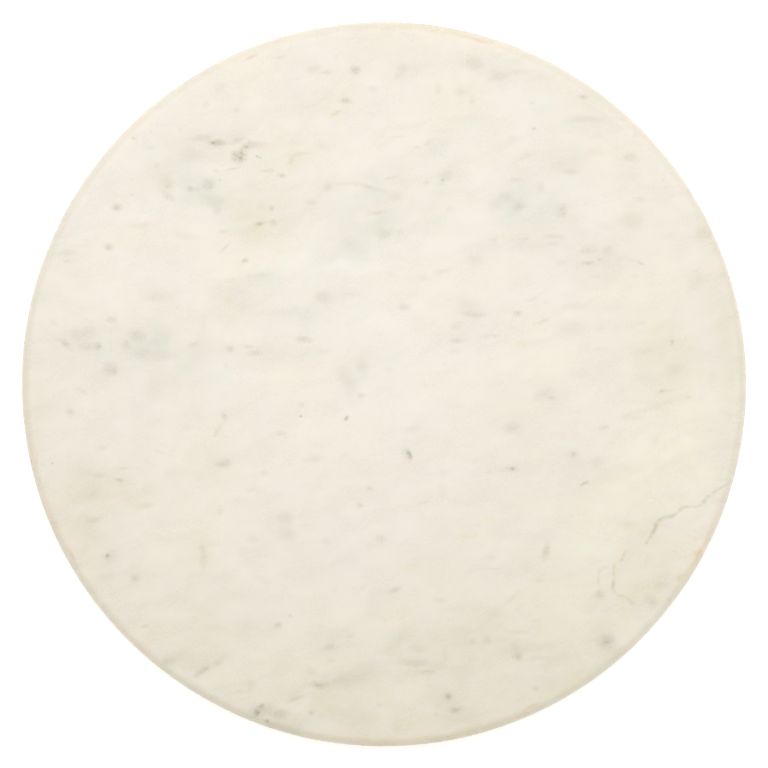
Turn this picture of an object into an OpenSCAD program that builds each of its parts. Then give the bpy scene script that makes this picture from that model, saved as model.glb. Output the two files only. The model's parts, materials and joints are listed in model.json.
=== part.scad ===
// Lazy susan turntable. A round marble top turns on a ball-bearing ring that is
// screwed to a smaller marble base. +Z is up, and z = 0 is the plane of the feet.
// The turning axis is the Z axis. All sizes are in millimetres.

/* [Marble top] */
// Diameter of the turning top
top_d = 305; // [260:1:400]
// Thickness of the turning top
top_t = 15; // [12:0.5:20]
// Radius of the quarter-round edge above
top_edge_r = 4; // [2:0.5:5]
// Radius of the small easing below
top_under_r = 1; // [0.5:0.5:2]

/* [Bearing rings] */
// Outside diameter of the outer ring
bearing_d = 140; // [140:1:160]
// Diameter of the opening in the inner ring
bearing_bore_d = 92; // [80:1:92]
// Height of each ring
ring_h = 7.5; // [7:0.5:9]
// Height by which the outer ring stands above the inner one
ring_step = 1; // [1:0.5:2]
// Radial gap between the two rings
ring_gap = 1.6; // [1.4:0.1:2]
// Chamfer on the rings' corners
ring_chamfer = 0.6; // [0.2:0.1:0.8]

/* [Balls and cage] */
// Diameter of a ball
ball_d = 5; // [4.5:0.1:5]
// Number of balls
ball_count = 24; // [12:1:36]
// Diameter of the circle of ball centres
ball_circle_d = 116; // [114:1:118]
// Clearance between a ball and its two grooves
groove_clearance = 0.1; // [0.08:0.01:0.15]
// Clearance between a ball and its pocket in the cage
pocket_clearance = 0.15; // [0.1:0.05:0.2]
// Wall thickness of the cage strip
cage_t = 1; // [0.8:0.1:1]
// Height of the cage strip
cage_h = 7.2; // [6.8:0.1:7.5]

/* [Marble base] */
// Diameter of the base
base_d = 180; // [176:1:240]
// Thickness of the base
base_t = 12; // [10:0.5:16]
// Radius of the rounded edge above
base_edge_r = 2.5; // [1:0.5:4]
// Radius of the small easing below
base_under_r = 1; // [0.5:0.5:2]

/* [Feet] */
// Number of feet
foot_count = 4; // [3:1:6]
// Diameter of a foot
foot_d = 16; // [12:1:18]
// Height of a foot's silicone
foot_h = 2.8; // [2:0.1:5]
// Radius of the rounded corner at the bottom of a foot
foot_edge_r = 0.8; // [0.3:0.1:1]
// Thickness of the adhesive disc above a foot
tape_t = 0.2; // [0.1:0.1:0.4]
// Diameter of the circle of foot centres
foot_circle_d = 148; // [140:1:150]

/* [Fasteners] */
// Number of screws in each ring
screw_count = 4; // [3:1:6]
// Diameter of the screws' thread, M4
screw_d = 4; // [4]
// Clearance all round a screw in its tapped hole
thread_clearance = 0.05; // [0.02:0.01:0.1]
// Circle of the screws that hold the outer ring to the top
top_screw_circle_d = 130; // [129:0.5:131]
// Length of those countersunk screws, with the head
top_screw_l = 14; // [12:1:15]
// Circle of the screws that hold the base to the inner ring
base_screw_circle_d = 101; // [100:0.5:102]
// Length of those screws, under the head
base_screw_l = 12; // [11:1:12]
// Depth of the counterbores under the base
counterbore_depth = 6.5; // [5.5:0.5:7]
// Diameter of the counterbores under the base
counterbore_d = 11; // [10:0.5:12]
// Diameter of a bonded insert in the top
insert_d = 6; // [6:0.1:6.5]
// Length of a bonded insert
insert_l = 8; // [7:0.5:9]

/* [Hidden] */
$fn = 96;

// heights, from the table up
base_z = foot_h + tape_t;
inner_ring_z = base_z + base_t;
outer_ring_z = inner_ring_z + ring_step;
top_z = outer_ring_z + ring_h;
ball_z = (inner_ring_z + top_z) / 2;

// radii of the bearing
ball_circle_r = ball_circle_d / 2;
groove_r = ball_d / 2 + groove_clearance;
pocket_r = ball_d / 2 + pocket_clearance;
inner_ring_r = ball_circle_r - ring_gap / 2;
outer_ring_bore_r = ball_circle_r + ring_gap / 2;

// countersunk screw of the top: a 90 degree head with a hexagon socket
sunk_head_d = 7.6;
sunk_head_h = (sunk_head_d - screw_d) / 2;
sunk_clearance = 0.06;
sunk_rim = 0.2;
socket_af = 2.5;
socket_depth = 1.4;

// button-head screw of the base, and its washer
button_head_d = 7.6;
button_head_h = 2.3;
button_edge_r = 1.4;
washer_d = 9;
washer_bore_d = 4.3;
washer_t = 0.8;
through_hole_d = 5.5;
ring_hole_d = 4.5;

// bonded inserts: their holes leave room for the adhesive
adhesive_gap = 0.1;
insert_hole_d = insert_d + 2 * adhesive_gap;
insert_hole_depth = insert_l + 1;
knurl_groove_w = 0.8;
knurl_groove_depth = 0.35;

// pin that closes the hole through which the balls are loaded
plug_oversize = 0.2;
plug_d = ball_d + plug_oversize;
plug_clearance = 0.03;
plug_inset = 0.3;
plug_l = 8;
plug_chamfer = 0.4;
plug_angle = 22.5;

screw_tip_chamfer = 0.4;
tape_margin = 0.5;
feet_angle = 45;
overcut = 1;

marble_colour = "#f1ecdf";
aluminium_colour = "#c3c6c9";
steel_colour = "#d6d8da";
zinc_colour = "#b8bcc2";
brass_colour = "#c9a24b";
nylon_colour = "#efeee6";
silicone_colour = "#dfe3e4";
tape_colour = "#f4f2ea";

function two_digits(n) = n < 10 ? str("0", n) : str(n);
function ball_name(n) = str("ball_", two_digits(n));
function foot_name(n) = str("foot_", n);
function tape_name(n) = str("foot_tape_", n);
function across_corners(across_flats) = across_flats / cos(30);

// Puts its children at `count` places round a circle, the first one on +X
module around(count, circle_d) {
    for (i = [0 : count - 1])
        rotate([0, 0, 360 * i / count])
            translate([circle_d / 2, 0, 0]) children();
}

// Puts its children at only the nth place, counted from 1, with the circle turned by `first` degrees
module nth_around(n, count, circle_d, first = 0) {
    rotate([0, 0, first + 360 * (n - 1) / count])
        translate([circle_d / 2, 0, 0]) children();
}

// A round slab that stands on z = 0, with rounded edges above and below
module eased_disc(r, t, above_r, below_r) {
    rotate_extrude() {
        square([r - above_r, t]);
        square([r - below_r, t / 2]);
        translate([0, below_r]) square([r, t - above_r - below_r]);
        translate([r - above_r, t - above_r]) circle(r = above_r);
        translate([r - below_r, below_r]) circle(r = below_r);
    }
}

// The outline of a ring's section, with all four corners chamfered
module ring_section(r_in, r_out, h, chamfer) {
    polygon([
        [r_in + chamfer, 0], [r_out - chamfer, 0],
        [r_out, chamfer], [r_out, h - chamfer],
        [r_out - chamfer, h], [r_in + chamfer, h],
        [r_in, h - chamfer], [r_in, chamfer]
    ]);
}

// A ring at height z with a ball groove cut into the side that faces the balls
module grooved_ring(r_in, r_out, z) {
    rotate_extrude()
        difference() {
            translate([0, z]) ring_section(r_in, r_out, ring_h, ring_chamfer);
            translate([ball_circle_r, ball_z]) circle(r = groove_r);
        }
}

// A hexagon socket that goes up from z = 0
module socket(across_flats, depth) {
    translate([0, 0, -overcut])
        cylinder(d = across_corners(across_flats), h = depth + overcut, $fn = 6);
}

// A screw's plain shank from z = 0 up, chamfered at its tip
module shank(l) {
    rotate_extrude()
        polygon([
            [0, 0], [screw_d / 2, 0], [screw_d / 2, l - screw_tip_chamfer],
            [screw_d / 2 - screw_tip_chamfer, l], [0, l]
        ]);
}

// A round pin from z = 0 up, chamfered at both ends
module chamfered_pin(r, l, chamfer) {
    rotate_extrude()
        polygon([
            [0, 0], [r - chamfer, 0], [r, chamfer],
            [r, l - chamfer], [r - chamfer, l], [0, l]
        ]);
}

// The 90 degree cone of a countersunk head, from z = 0 up, `gap` larger all round
module sunk_cone(gap = 0) {
    cylinder(d = sunk_head_d + 2 * gap, h = sunk_rim);
    translate([0, 0, sunk_rim])
        cylinder(d1 = sunk_head_d + 2 * gap, d2 = screw_d + 2 * gap, h = sunk_head_h);
}

// Countersunk screw with its head's flat face on z = 0, pointing up
module sunk_screw(l) {
    difference() {
        union() {
            sunk_cone();
            shank(l);
        }
        socket(socket_af, socket_depth);
    }
}

// Button-head screw that points up, with the face under its head on z = 0
module button_screw(l) {
    difference() {
        union() {
            rotate_extrude() {
                translate([0, -button_head_h])
                    square([button_head_d / 2 - button_edge_r, button_head_h]);
                translate([0, button_edge_r - button_head_h])
                    square([button_head_d / 2, button_head_h - button_edge_r]);
                intersection() {
                    translate([button_head_d / 2 - button_edge_r, button_edge_r - button_head_h])
                        circle(r = button_edge_r);
                    translate([0, -button_head_h]) square([button_head_d, button_head_h]);
                }
            }
            shank(l);
        }
        translate([0, 0, -button_head_h]) socket(socket_af, socket_depth);
    }
}

// Threaded sleeve from z = 0 up, with two grooves that key it into its adhesive
module insert_sleeve() {
    difference() {
        cylinder(d = insert_d, h = insert_l);
        translate([0, 0, -overcut])
            cylinder(d = screw_d + 2 * thread_clearance, h = insert_l + 2 * overcut);
        for (z = [insert_l / 3, insert_l * 2 / 3])
            translate([0, 0, z - knurl_groove_w / 2])
                difference() {
                    cylinder(d = insert_d + overcut, h = knurl_groove_w);
                    cylinder(d = insert_d - 2 * knurl_groove_depth, h = knurl_groove_w);
                }
    }
}

module marble_top() {
    color(marble_colour)
        difference() {
            translate([0, 0, top_z]) eased_disc(top_d / 2, top_t, top_edge_r, top_under_r);
            around(screw_count, top_screw_circle_d)
                translate([0, 0, top_z - overcut])
                    cylinder(d = insert_hole_d, h = insert_hole_depth + overcut);
        }
}

module top_inserts() {
    color(brass_colour)
        around(screw_count, top_screw_circle_d) translate([0, 0, top_z]) insert_sleeve();
}

module outer_ring() {
    color(aluminium_colour)
        difference() {
            grooved_ring(outer_ring_bore_r, bearing_d / 2, outer_ring_z);
            around(screw_count, top_screw_circle_d)
                translate([0, 0, outer_ring_z]) {
                    translate([0, 0, -overcut]) cylinder(d = ring_hole_d, h = ring_h + 2 * overcut);
                    sunk_cone(sunk_clearance);
                }
            loading_hole();
        }
}

// The radial hole through which the balls go into the groove
module loading_hole() {
    rotate([0, 0, plug_angle])
        translate([ball_circle_r, 0, ball_z])
            rotate([0, 90, 0])
                cylinder(d = plug_d + 2 * plug_clearance, h = bearing_d / 2 - ball_circle_r + overcut);
}

module loading_plug() {
    color(steel_colour)
        rotate([0, 0, plug_angle])
            translate([bearing_d / 2 - plug_inset, 0, ball_z])
                rotate([0, -90, 0])
                    chamfered_pin(plug_d / 2, plug_l, plug_chamfer);
}

module outer_ring_screws() {
    color(zinc_colour)
        around(screw_count, top_screw_circle_d)
            translate([0, 0, outer_ring_z]) sunk_screw(top_screw_l);
}

module ball_cage() {
    color(nylon_colour)
        difference() {
            rotate_extrude()
                translate([ball_circle_r - cage_t / 2, ball_z - cage_h / 2]) square([cage_t, cage_h]);
            around(ball_count, ball_circle_d)
                translate([-cage_t, 0, ball_z]) rotate([0, 90, 0]) cylinder(r = pocket_r, h = 2 * cage_t);
        }
}

module ball(n) {
    color(steel_colour)
        nth_around(n, ball_count, ball_circle_d) translate([0, 0, ball_z]) sphere(d = ball_d);
}

module inner_ring() {
    color(aluminium_colour)
        difference() {
            grooved_ring(bearing_bore_d / 2, inner_ring_r, inner_ring_z);
            around(screw_count, base_screw_circle_d)
                translate([0, 0, inner_ring_z - overcut])
                    cylinder(d = screw_d + 2 * thread_clearance, h = ring_h + 2 * overcut);
        }
}

module base_disc() {
    color(marble_colour)
        difference() {
            translate([0, 0, base_z]) eased_disc(base_d / 2, base_t, base_edge_r, base_under_r);
            around(screw_count, base_screw_circle_d)
                translate([0, 0, base_z - overcut]) {
                    cylinder(d = through_hole_d, h = base_t + 2 * overcut);
                    cylinder(d = counterbore_d, h = counterbore_depth + overcut);
                }
        }
}

module base_washers() {
    color(zinc_colour)
        around(screw_count, base_screw_circle_d)
            translate([0, 0, base_z + counterbore_depth - washer_t])
                difference() {
                    cylinder(d = washer_d, h = washer_t);
                    translate([0, 0, -overcut]) cylinder(d = washer_bore_d, h = washer_t + 2 * overcut);
                }
}

module base_screws() {
    color(zinc_colour)
        around(screw_count, base_screw_circle_d)
            translate([0, 0, base_z + counterbore_depth - washer_t]) button_screw(base_screw_l);
}

module foot(n) {
    color(silicone_colour)
        nth_around(n, foot_count, foot_circle_d, feet_angle)
            rotate_extrude() {
                square([foot_d / 2 - foot_edge_r, foot_h]);
                translate([0, foot_edge_r]) square([foot_d / 2, foot_h - foot_edge_r]);
                translate([foot_d / 2 - foot_edge_r, foot_edge_r]) circle(r = foot_edge_r);
            }
}

module foot_tape(n) {
    color(tape_colour)
        nth_around(n, foot_count, foot_circle_d, feet_angle)
            translate([0, 0, foot_h]) cylinder(d = foot_d - 2 * tape_margin, h = tape_t);
}

marble_top();
top_inserts();
outer_ring();
outer_ring_screws();
loading_plug();
ball_cage();
for (n = [1 : ball_count]) ball(n);
inner_ring();
base_disc();
base_screws();
base_washers();
for (n = [1 : foot_count]) foot(n);
for (n = [1 : foot_count]) foot_tape(n);
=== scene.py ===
"""Looks of the lazy susan turntable: a cream marble top on a bearing ring and a smaller marble base.

Everything is in metres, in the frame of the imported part: the turning axis is Z, the table is z = 0,
and +Y is the top of the picture.
"""
import json
import math

import bpy
import numpy as np
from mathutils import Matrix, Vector, noise


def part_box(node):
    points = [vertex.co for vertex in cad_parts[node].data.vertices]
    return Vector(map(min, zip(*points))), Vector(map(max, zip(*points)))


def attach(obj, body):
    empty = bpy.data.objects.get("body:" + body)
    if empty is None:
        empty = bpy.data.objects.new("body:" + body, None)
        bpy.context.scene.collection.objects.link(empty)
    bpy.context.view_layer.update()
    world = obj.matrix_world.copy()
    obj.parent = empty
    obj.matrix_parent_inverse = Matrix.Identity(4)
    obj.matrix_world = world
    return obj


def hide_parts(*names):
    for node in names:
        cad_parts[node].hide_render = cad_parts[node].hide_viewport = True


MM = 0.001
STONE = "#ede7db"
# the patches and marks fade over this depth down the top's edge
MARK_DEPTH = 6 * MM

# Blender seeds mathutils' noise vectors from the clock unless it is given a seed
noise.seed_set(1)

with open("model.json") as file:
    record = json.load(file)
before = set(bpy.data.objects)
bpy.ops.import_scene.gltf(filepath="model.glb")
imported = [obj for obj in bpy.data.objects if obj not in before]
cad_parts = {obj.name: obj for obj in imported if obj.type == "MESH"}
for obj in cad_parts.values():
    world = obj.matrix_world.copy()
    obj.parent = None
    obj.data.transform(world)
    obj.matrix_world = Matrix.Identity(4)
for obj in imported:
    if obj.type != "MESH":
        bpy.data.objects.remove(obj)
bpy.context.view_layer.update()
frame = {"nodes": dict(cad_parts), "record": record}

# ---------------------------------------------------------------- measures taken from the CAD

top_low, top_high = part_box("marble_top")
base_low, base_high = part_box("base_disc")
TOP_RADIUS = (top_high.x - top_low.x) / 2
TOP_Z = top_high.z
TOP_UNDERSIDE = top_low.z
TOP_EDGE = 4 * MM
UNDER_EDGE = 1 * MM
insert_low, insert_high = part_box("top_inserts")
INSERT_RADIUS = 3 * MM
INSERT_CIRCLE = insert_high.x - INSERT_RADIUS
INSERT_COUNT = 4
HOLE_RADIUS = INSERT_RADIUS + 0.1 * MM
HOLE_DEPTH = insert_high.z - insert_low.z + 1 * MM

# ---------------------------------------------------------------- the marks of the marble top
# Their places and sizes are in units of which the top's radius has 155, close to a millimetre each.

UNIT = TOP_RADIUS / 155

# broad soft patches, by colour: x, y, half length, half width, tilt in degrees, strength
PATCHES = {}
PATCHES["cloud"] = [
    (-78, 101, 17, 6, 0, 0.6), (-88, 94, 14, 8, 20, 0.4), (-76, 84, 10, 6, 0, 0.5), (-72, 77, 9, 4, -10, 0.4),
    (-30, 84, 9, 5, 0, 0.3), (0, 83, 14, 7, -10, 0.45), (6, 77, 8, 6, 0, 0.4), (-3, 68, 12, 8, 10, 0.65),
    (-15, 60, 10, 7, 20, 0.45), (-16, 55, 11, 4, 5, 0.45), (20, 76, 10, 8, 0, 0.3), (27, 88, 6, 4, 20, 0.4),
    (21, 101, 9, 5, 20, 0.35), (60, 85, 14, 9, 10, 0.45), (57, 76, 9, 6, 0, 0.5), (66, 69, 12, 7, 0, 0.35),
    (78, 74, 6, 6, 0, 0.4), (50, 60, 16, 5, 5, 0.45), (64, 58, 10, 5, 0, 0.35), (85, 55, 9, 7, 0, 0.5),
    (94, 56, 7, 5, 0, 0.45), (88, 48, 7, 4, 0, 0.4), (110, 53, 9, 4, -10, 0.25), (105, 70, 8, 6, 0, 0.35),
    (105, 88, 8, 4, 10, 0.25), (76, 92, 9, 4, 10, 0.25), (82, 112, 14, 4, 5, 0.25), (85, 121, 6, 3, 0, 0.3),
    (-35, 120, 12, 6, 0, 0.35), (-33, 134, 10, 4, 0, 0.3), (-12, 134, 5, 4, 0, 0.3),
    (-3, 140, 14, 5, 0, 0.25), (8, 134, 6, 5, 0, 0.3), (38, 135, 9, 6, 0, 0.35), (53, 131, 11, 4, 5, 0.35),
    (66, 134, 6, 4, -20, 0.3), (-29, 37, 11, 6, 10, 0.45), (-52, 46, 9, 4, 5, 0.4), (-44, 30, 14, 5, 0, 0.3),
    (-62, 40, 14, 7, 10, 0.25), (-100, 17, 22, 7, -3, 0.55), (-106, 21, 8, 5, 0, 0.35),
    (-82, 15, 12, 6, 0, 0.4), (-132, 20, 11, 6, 0, 0.35), (-55, 14, 14, 5, 0, 0.45),
    (-38, 14, 9, 5, -10, 0.35), (-98, -3, 6, 6, 0, 0.12), (-115, 6, 7, 5, 0, 0.35), (-112, 19, 22, 8, 0, 0.2),
    (-10, 6, 7, 7, 0, 0.22), (-17, 2, 6, 5, 0, 0.16), (-11, -6, 6, 5, 0, 0.25), (35, 32, 11, 7, 0, 0.4),
    (30, 20, 9, 5, 5, 0.35), (13, -18, 9, 4, 10, 0.25), (10, -30, 6, 5, 0, 0.3), (70, -6, 8, 6, 10, 0.3),
    (55, -18, 12, 5, 0, 0.25), (55, -36, 6, 5, 0, 0.25), (120, 5, 10, 7, 0, 0.25), (-67, -14, 5, 5, 0, 0.2),
    (-68, -34, 7, 4, 10, 0.3), (-121, -40, 11, 5, 0, 0.35), (-125, -51, 7, 7, 0, 0.3),
    (-128, -61, 8, 5, 0, 0.25), (-118, -74, 6, 5, 0, 0.3), (-107, -83, 6, 5, 0, 0.3),
    (-119, -82, 8, 4, 10, 0.25), (-42, -61, 6, 9, 0, 0.3), (-11, -139, 10, 6, 0, 0.35),
    (14, -118, 14, 8, 0, 0.6), (-14, -126, 16, 6, 8, 0.3), (-28, -128, 8, 4, 0, 0.4),
    (-22, -112, 9, 5, 10, 0.35), (-50, -103, 14, 5, 0, 0.25), (-51, -140, 11, 5, 15, 0.7),
    (-78, -122, 11, 4, 35, 0.35), (-91, -118, 8, 4, 30, 0.3), (28, -136, 7, 6, 0, 0.5),
    (57, -115, 7, 6, 0, 0.4), (45, -109, 8, 6, 0, 0.35), (48, -100, 10, 5, 30, 0.25),
    (65, -129, 9, 4, 20, 0.3), (95, -110, 7, 6, 0, 0.25), (124, -82, 6, 6, 0, 0.25), (5, 91, 11, 7, 0, 0.3),
    (-80, 6, 14, 8, 0, 0.4), (-57, 79, 8, 7, 0, 0.25), (-27, 75, 16, 7, 0, 0.3), (35, 108, 10, 5, 0, 0.25),
    (65, 120, 7, 4, 0, 0.25), (-45, -147, 14, 4, 15, 0.7), (10, -111, 12, 5, 0, 0.25),
    (66, -115, 9, 8, 0, 0.4), (80, 90, 9, 7, 0, 0.25), (-68, 106, 10, 6, 0, 0.3), (50, 46, 9, 5, 0, 0.2),
]
# the first patch here and the first yellow patch are broad bands that make the top darker and yellower
# towards its -Y edge
PATCHES["olive"] = [
    (0, -142, 110, 28, 0, 0.55), (-50, 73, 11, 6, 20, 0.45), (-58, 79, 10, 6, 0, 0.9),
    (-40, 103, 12, 4, 10, 0.4), (-38, 97, 7, 4, 20, 0.35), (-93, 85, 6, 5, 0, 0.45), (-62, 38, 9, 8, 0, 0.35),
    (-95, 37, 8, 4, 0, 0.3), (-19, 120, 9, 5, 0, 0.35), (24, 122, 8, 9, 0, 0.3), (35, 123, 6, 5, 0, 0.3),
    (118, 20, 14, 12, 0, 0.5), (122, 5, 8, 8, 0, 0.3), (-128, -50, 13, 16, -20, 0.4),
    (-118, -48, 16, 9, 0, 0.3), (-135, -65, 12, 8, -55, 0.35), (-78, -72, 6, 9, 0, 0.35),
    (-76, -28, 9, 10, 0, 0.2), (115, -88, 15, 9, 40, 0.8), (102, -80, 9, 8, 0, 0.4),
    (62, -88, 18, 9, 25, 0.35), (84, -122, 28, 7, 35, 0.5), (-98, -107, 22, 7, -42, 0.4),
    (0, -142, 44, 7, 0, 0.45), (136, 64, 6, 8, 0, 0.45), (150, 0, 4, 34, 0, 0.3), (-150, -14, 4, 26, 5, 0.3),
    (10, -96, 30, 7, 5, 0.25), (-72, -112, 20, 6, 25, 0.25), (62, 8, 14, 5, 10, 0.2),
    (-80, -100, 16, 12, 0, 0.35), (-85, -82, 16, 9, 0, 0.25), (55, -106, 24, 9, 5, 0.5),
    (75, -50, 18, 8, 15, 0.3), (-105, -47, 10, 6, 0, 0.4), (-42, 95, 16, 6, 30, 0.4),
    (144, 30, 8, 26, 5, 0.55), (110, -66, 14, 6, 15, 0.3), (50, -8, 12, 7, 0, 0.3), (-9.5, 7, 5, 5, 0, 0.35),
    (60, -75, 26, 9, 10, 0.25), (-46, 71, 9, 7, 0, 0.7), (112, 16, 14, 8, 0, 0.25),
    (-100, -80, 22, 20, 0, 0.2), (-131, -71, 12, 9, -55, 0.6), (30, -85, 16, 9, 0, 0.2),
    (92, -88, 7, 8, 0, 0.45), (-42, 100, 9, 8, 0, 0.4), (112, -68, 10, 8, 0, 0.45),
    (-14, -126, 14, 6, 8, 0.3),
]
PATCHES["warm"] = [
    (-62, 130, 17, 9, 25, 0.7), (-110, 62, 16, 9, 20, 0.3), (-62, 50, 14, 5, 10, 0.6),
    (-45, 62, 12, 5, 20, 0.4), (30, 108, 14, 6, 10, 0.5), (44, 45, 14, 5, 10, 0.6), (68, 15, 20, 9, 10, 0.7),
    (-42, 3, 14, 7, 0, 0.6), (30, -3, 11, 6, 0, 0.5), (-88, 0, 9, 6, 0, 0.4), (100, 44, 16, 8, 0, 0.45),
    (-30, -22, 14, 8, 10, 0.4), (-8, -19, 7, 3, 0, 0.3), (44, 144, 16, 4, -18, 0.6),
    (-102, 112, 14, 5, 45, 0.5), (20, 50, 12, 5, 15, 0.4), (95, 95, 14, 6, -20, 0.3),
    (-20, -100, 24, 7, 10, 0.25), (65, -55, 16, 8, 10, 0.25), (30, 145, 18, 4, -10, 0.4),
    (25, 38, 13, 9, 0, 0.7), (76, -8, 9, 9, 0, 0.3), (-62, 22, 7, 7, 0, 0.4), (0, 67, 9, 7, 0, 0.3),
    (137, -70, 8, 12, -30, 0.9), (115, -20, 28, 26, 0, 0.5), (-125, -5, 24, 75, 0, 0.2),
    (128, 20, 24, 60, 0, 0.25), (-86, -86, 34, 26, -45, 0.15),
]
# the first patch here is a broad band that makes the top yellower towards its -Y edge
PATCHES["yellow"] = [
    (0, -130, 110, 34, 0, 0.4), (100, -92, 46, 26, 40, 0.6), (126, -30, 24, 15, 20, 0.8),
    (112, -52, 20, 13, 25, 0.8), (88, -64, 16, 10, 20, 0.5), (134, -5, 14, 14, 0, 0.4),
    (-76, -58, 10, 14, 0, 0.5), (-92, -66, 9, 10, 0, 0.35), (-74, -24, 10, 9, 0, 0.4),
    (62, -22, 8, 5, 0, 0.3), (-30, -136, 14, 5, 0, 0.5), (10, -134, 14, 7, 0, 0.4),
    (70, -92, 14, 8, 30, 0.35), (10, -126, 8, 4, 0, 0.3), (36, -66, 12, 4, 5, 0.3), (118, 46, 10, 8, 0, 0.3),
]
PATCHES["violet"] = [
    (-100, -16, 26, 10, 5, 0.4), (-92, -48, 18, 12, 0, 0.25), (46, -50, 20, 10, 10, 0.5),
    (74, -30, 18, 9, 5, 0.6), (-28, -74, 30, 13, 5, 0.6), (28, -76, 22, 10, 5, 0.4),
    (42, -114, 15, 9, 0, 0.7), (50, -127, 12, 6, 0, 0.6), (138, 12, 9, 13, 0, 0.4),
    (-20, -108, 14, 6, 0, 0.5), (-70, -96, 22, 9, 0, 0.6), (-5, -45, 26, 9, 5, 0.4), (60, 46, 10, 5, 0, 0.4),
    (133, 43, 8, 7, 0, 0.5), (100, 7, 9, 6, 0, 0.3), (-140, -70, 8, 8, 0, 0.3), (-14, -126, 12, 5, 8, 0.6),
    (-2, 126, 20, 12, 0, 0.2),
]
PATCHES["cool"] = [
    (-12, 48, 90, 56, -8, 0.8), (-60, 95, 60, 34, 20, 0.5), (60, 92, 50, 26, -10, 0.3),
    (-6, -10, 30, 34, 0, 0.4), (45, 80, 32, 24, 0, 0.8), (5, 100, 26, 14, 0, 0.8), (-68, 109, 15, 8, 0, 1.1),
    (146, 32, 8, 22, 0, 0.9), (-26, 40, 9, 6, 0, 0.9), (-90, 28, 16, 9, 0, 0.7), (-112, 18, 24, 9, 0, 0.3),
    (-99, -6, 8, 8, 0, 0.8), (-75, -100, 24, 13, 0, 0.5), (82, -120, 11, 8, 0, 0.8),
    (55, -126, 26, 8, 0, 0.4), (-25, -112, 22, 8, 0, 0.5),
]
PATCHES["light"] = [
    (-10, 25, 60, 55, 0, 0.15), (-125, -5, 24, 75, 0, 0.22), (128, 0, 24, 75, 0, 0.3),
    (-86, -86, 34, 26, -45, 0.15), (-98, 73, 14, 6, 5, 0.6), (-114, 44, 14, 8, 0, 0.6),
    (-90, 42, 16, 7, 0, 0.35), (-100, 104, 8, 6, 0, 0.2), (-20, 49, 17, 5, 5, 0.7), (5, 26, 12, 7, 0, 0.5),
    (10, 11, 12, 7, 0, 0.4), (-38, 55, 10, 4, 0, 0.5), (-60, 88, 14, 4, 5, 0.5), (-38, 92, 16, 5, 8, 0.3),
    (-8, 97, 22, 5, 5, 0.35), (60, 121, 16, 4, 8, 0.5), (95, 76, 12, 5, 0, 0.6), (118, 78, 8, 5, 0, 0.4),
    (58, 108, 12, 4, 5, 0.3), (38, 76, 6, 4, -20, 0.4), (90, 43, 12, 3, 0, 0.4), (66, 37, 12, 3, 0, 0.3),
    (55, 8, 9, 5, 0, 0.4), (-2, 50, 8, 6, 0, 0.3), (-62, 5, 12, 4, 0, 0.4), (-134, 36, 10, 6, 0, 0.4),
    (-132, -5, 8, 5, 0, 0.2), (10, -10, 24, 8, 0, 0.4), (-40, 128, 12, 5, 0, 0.2), (20, -15, 12, 8, 0, 0.2),
    (-108, -60, 10, 5, 0, 0.3), (78, -68, 12, 6, 0, 0.25), (30, 60, 12, 4, 0, 0.3), (-84, -78, 8, 3, 0, 0.25),
    (5, -130, 10, 4, 0, 0.3), (90, -66, 8, 5, 0, 0.3), (125, -45, 16, 9, 10, 0.6),
    (115, -100, 16, 9, 50, 0.6), (-105, 105, 40, 13, 48, 0.35), (-130, 66, 11, 12, 0, 0.5),
    (88, -60, 8, 10, 0, 0.5), (-22, 130, 16, 7, 0, 0.3), (-78, -30, 10, 7, 0, 0.25),
    (112, -112, 9, 6, 45, 0.7), (110, 84, 12, 9, 0, 0.5), (-22, -19, 10, 6, 0, 0.3), (140, 0, 12, 16, 0, 0.5),
    (118, -26, 14, 9, 0, 0.3),
]

# what a patch of full strength multiplies the stone's colour by
PATCH_TINTS = {
    "cloud": (0.888, 0.914, 0.903), "olive": (0.945, 0.93, 0.87), "warm": (1.03, 1.012, 0.99),
    "yellow": (1.018, 1.03, 0.973), "violet": (0.985, 0.97, 0.978), "light": (1.025, 1.04, 1.06),
    "cool": (0.984, 1.0, 1.006),
}

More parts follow.
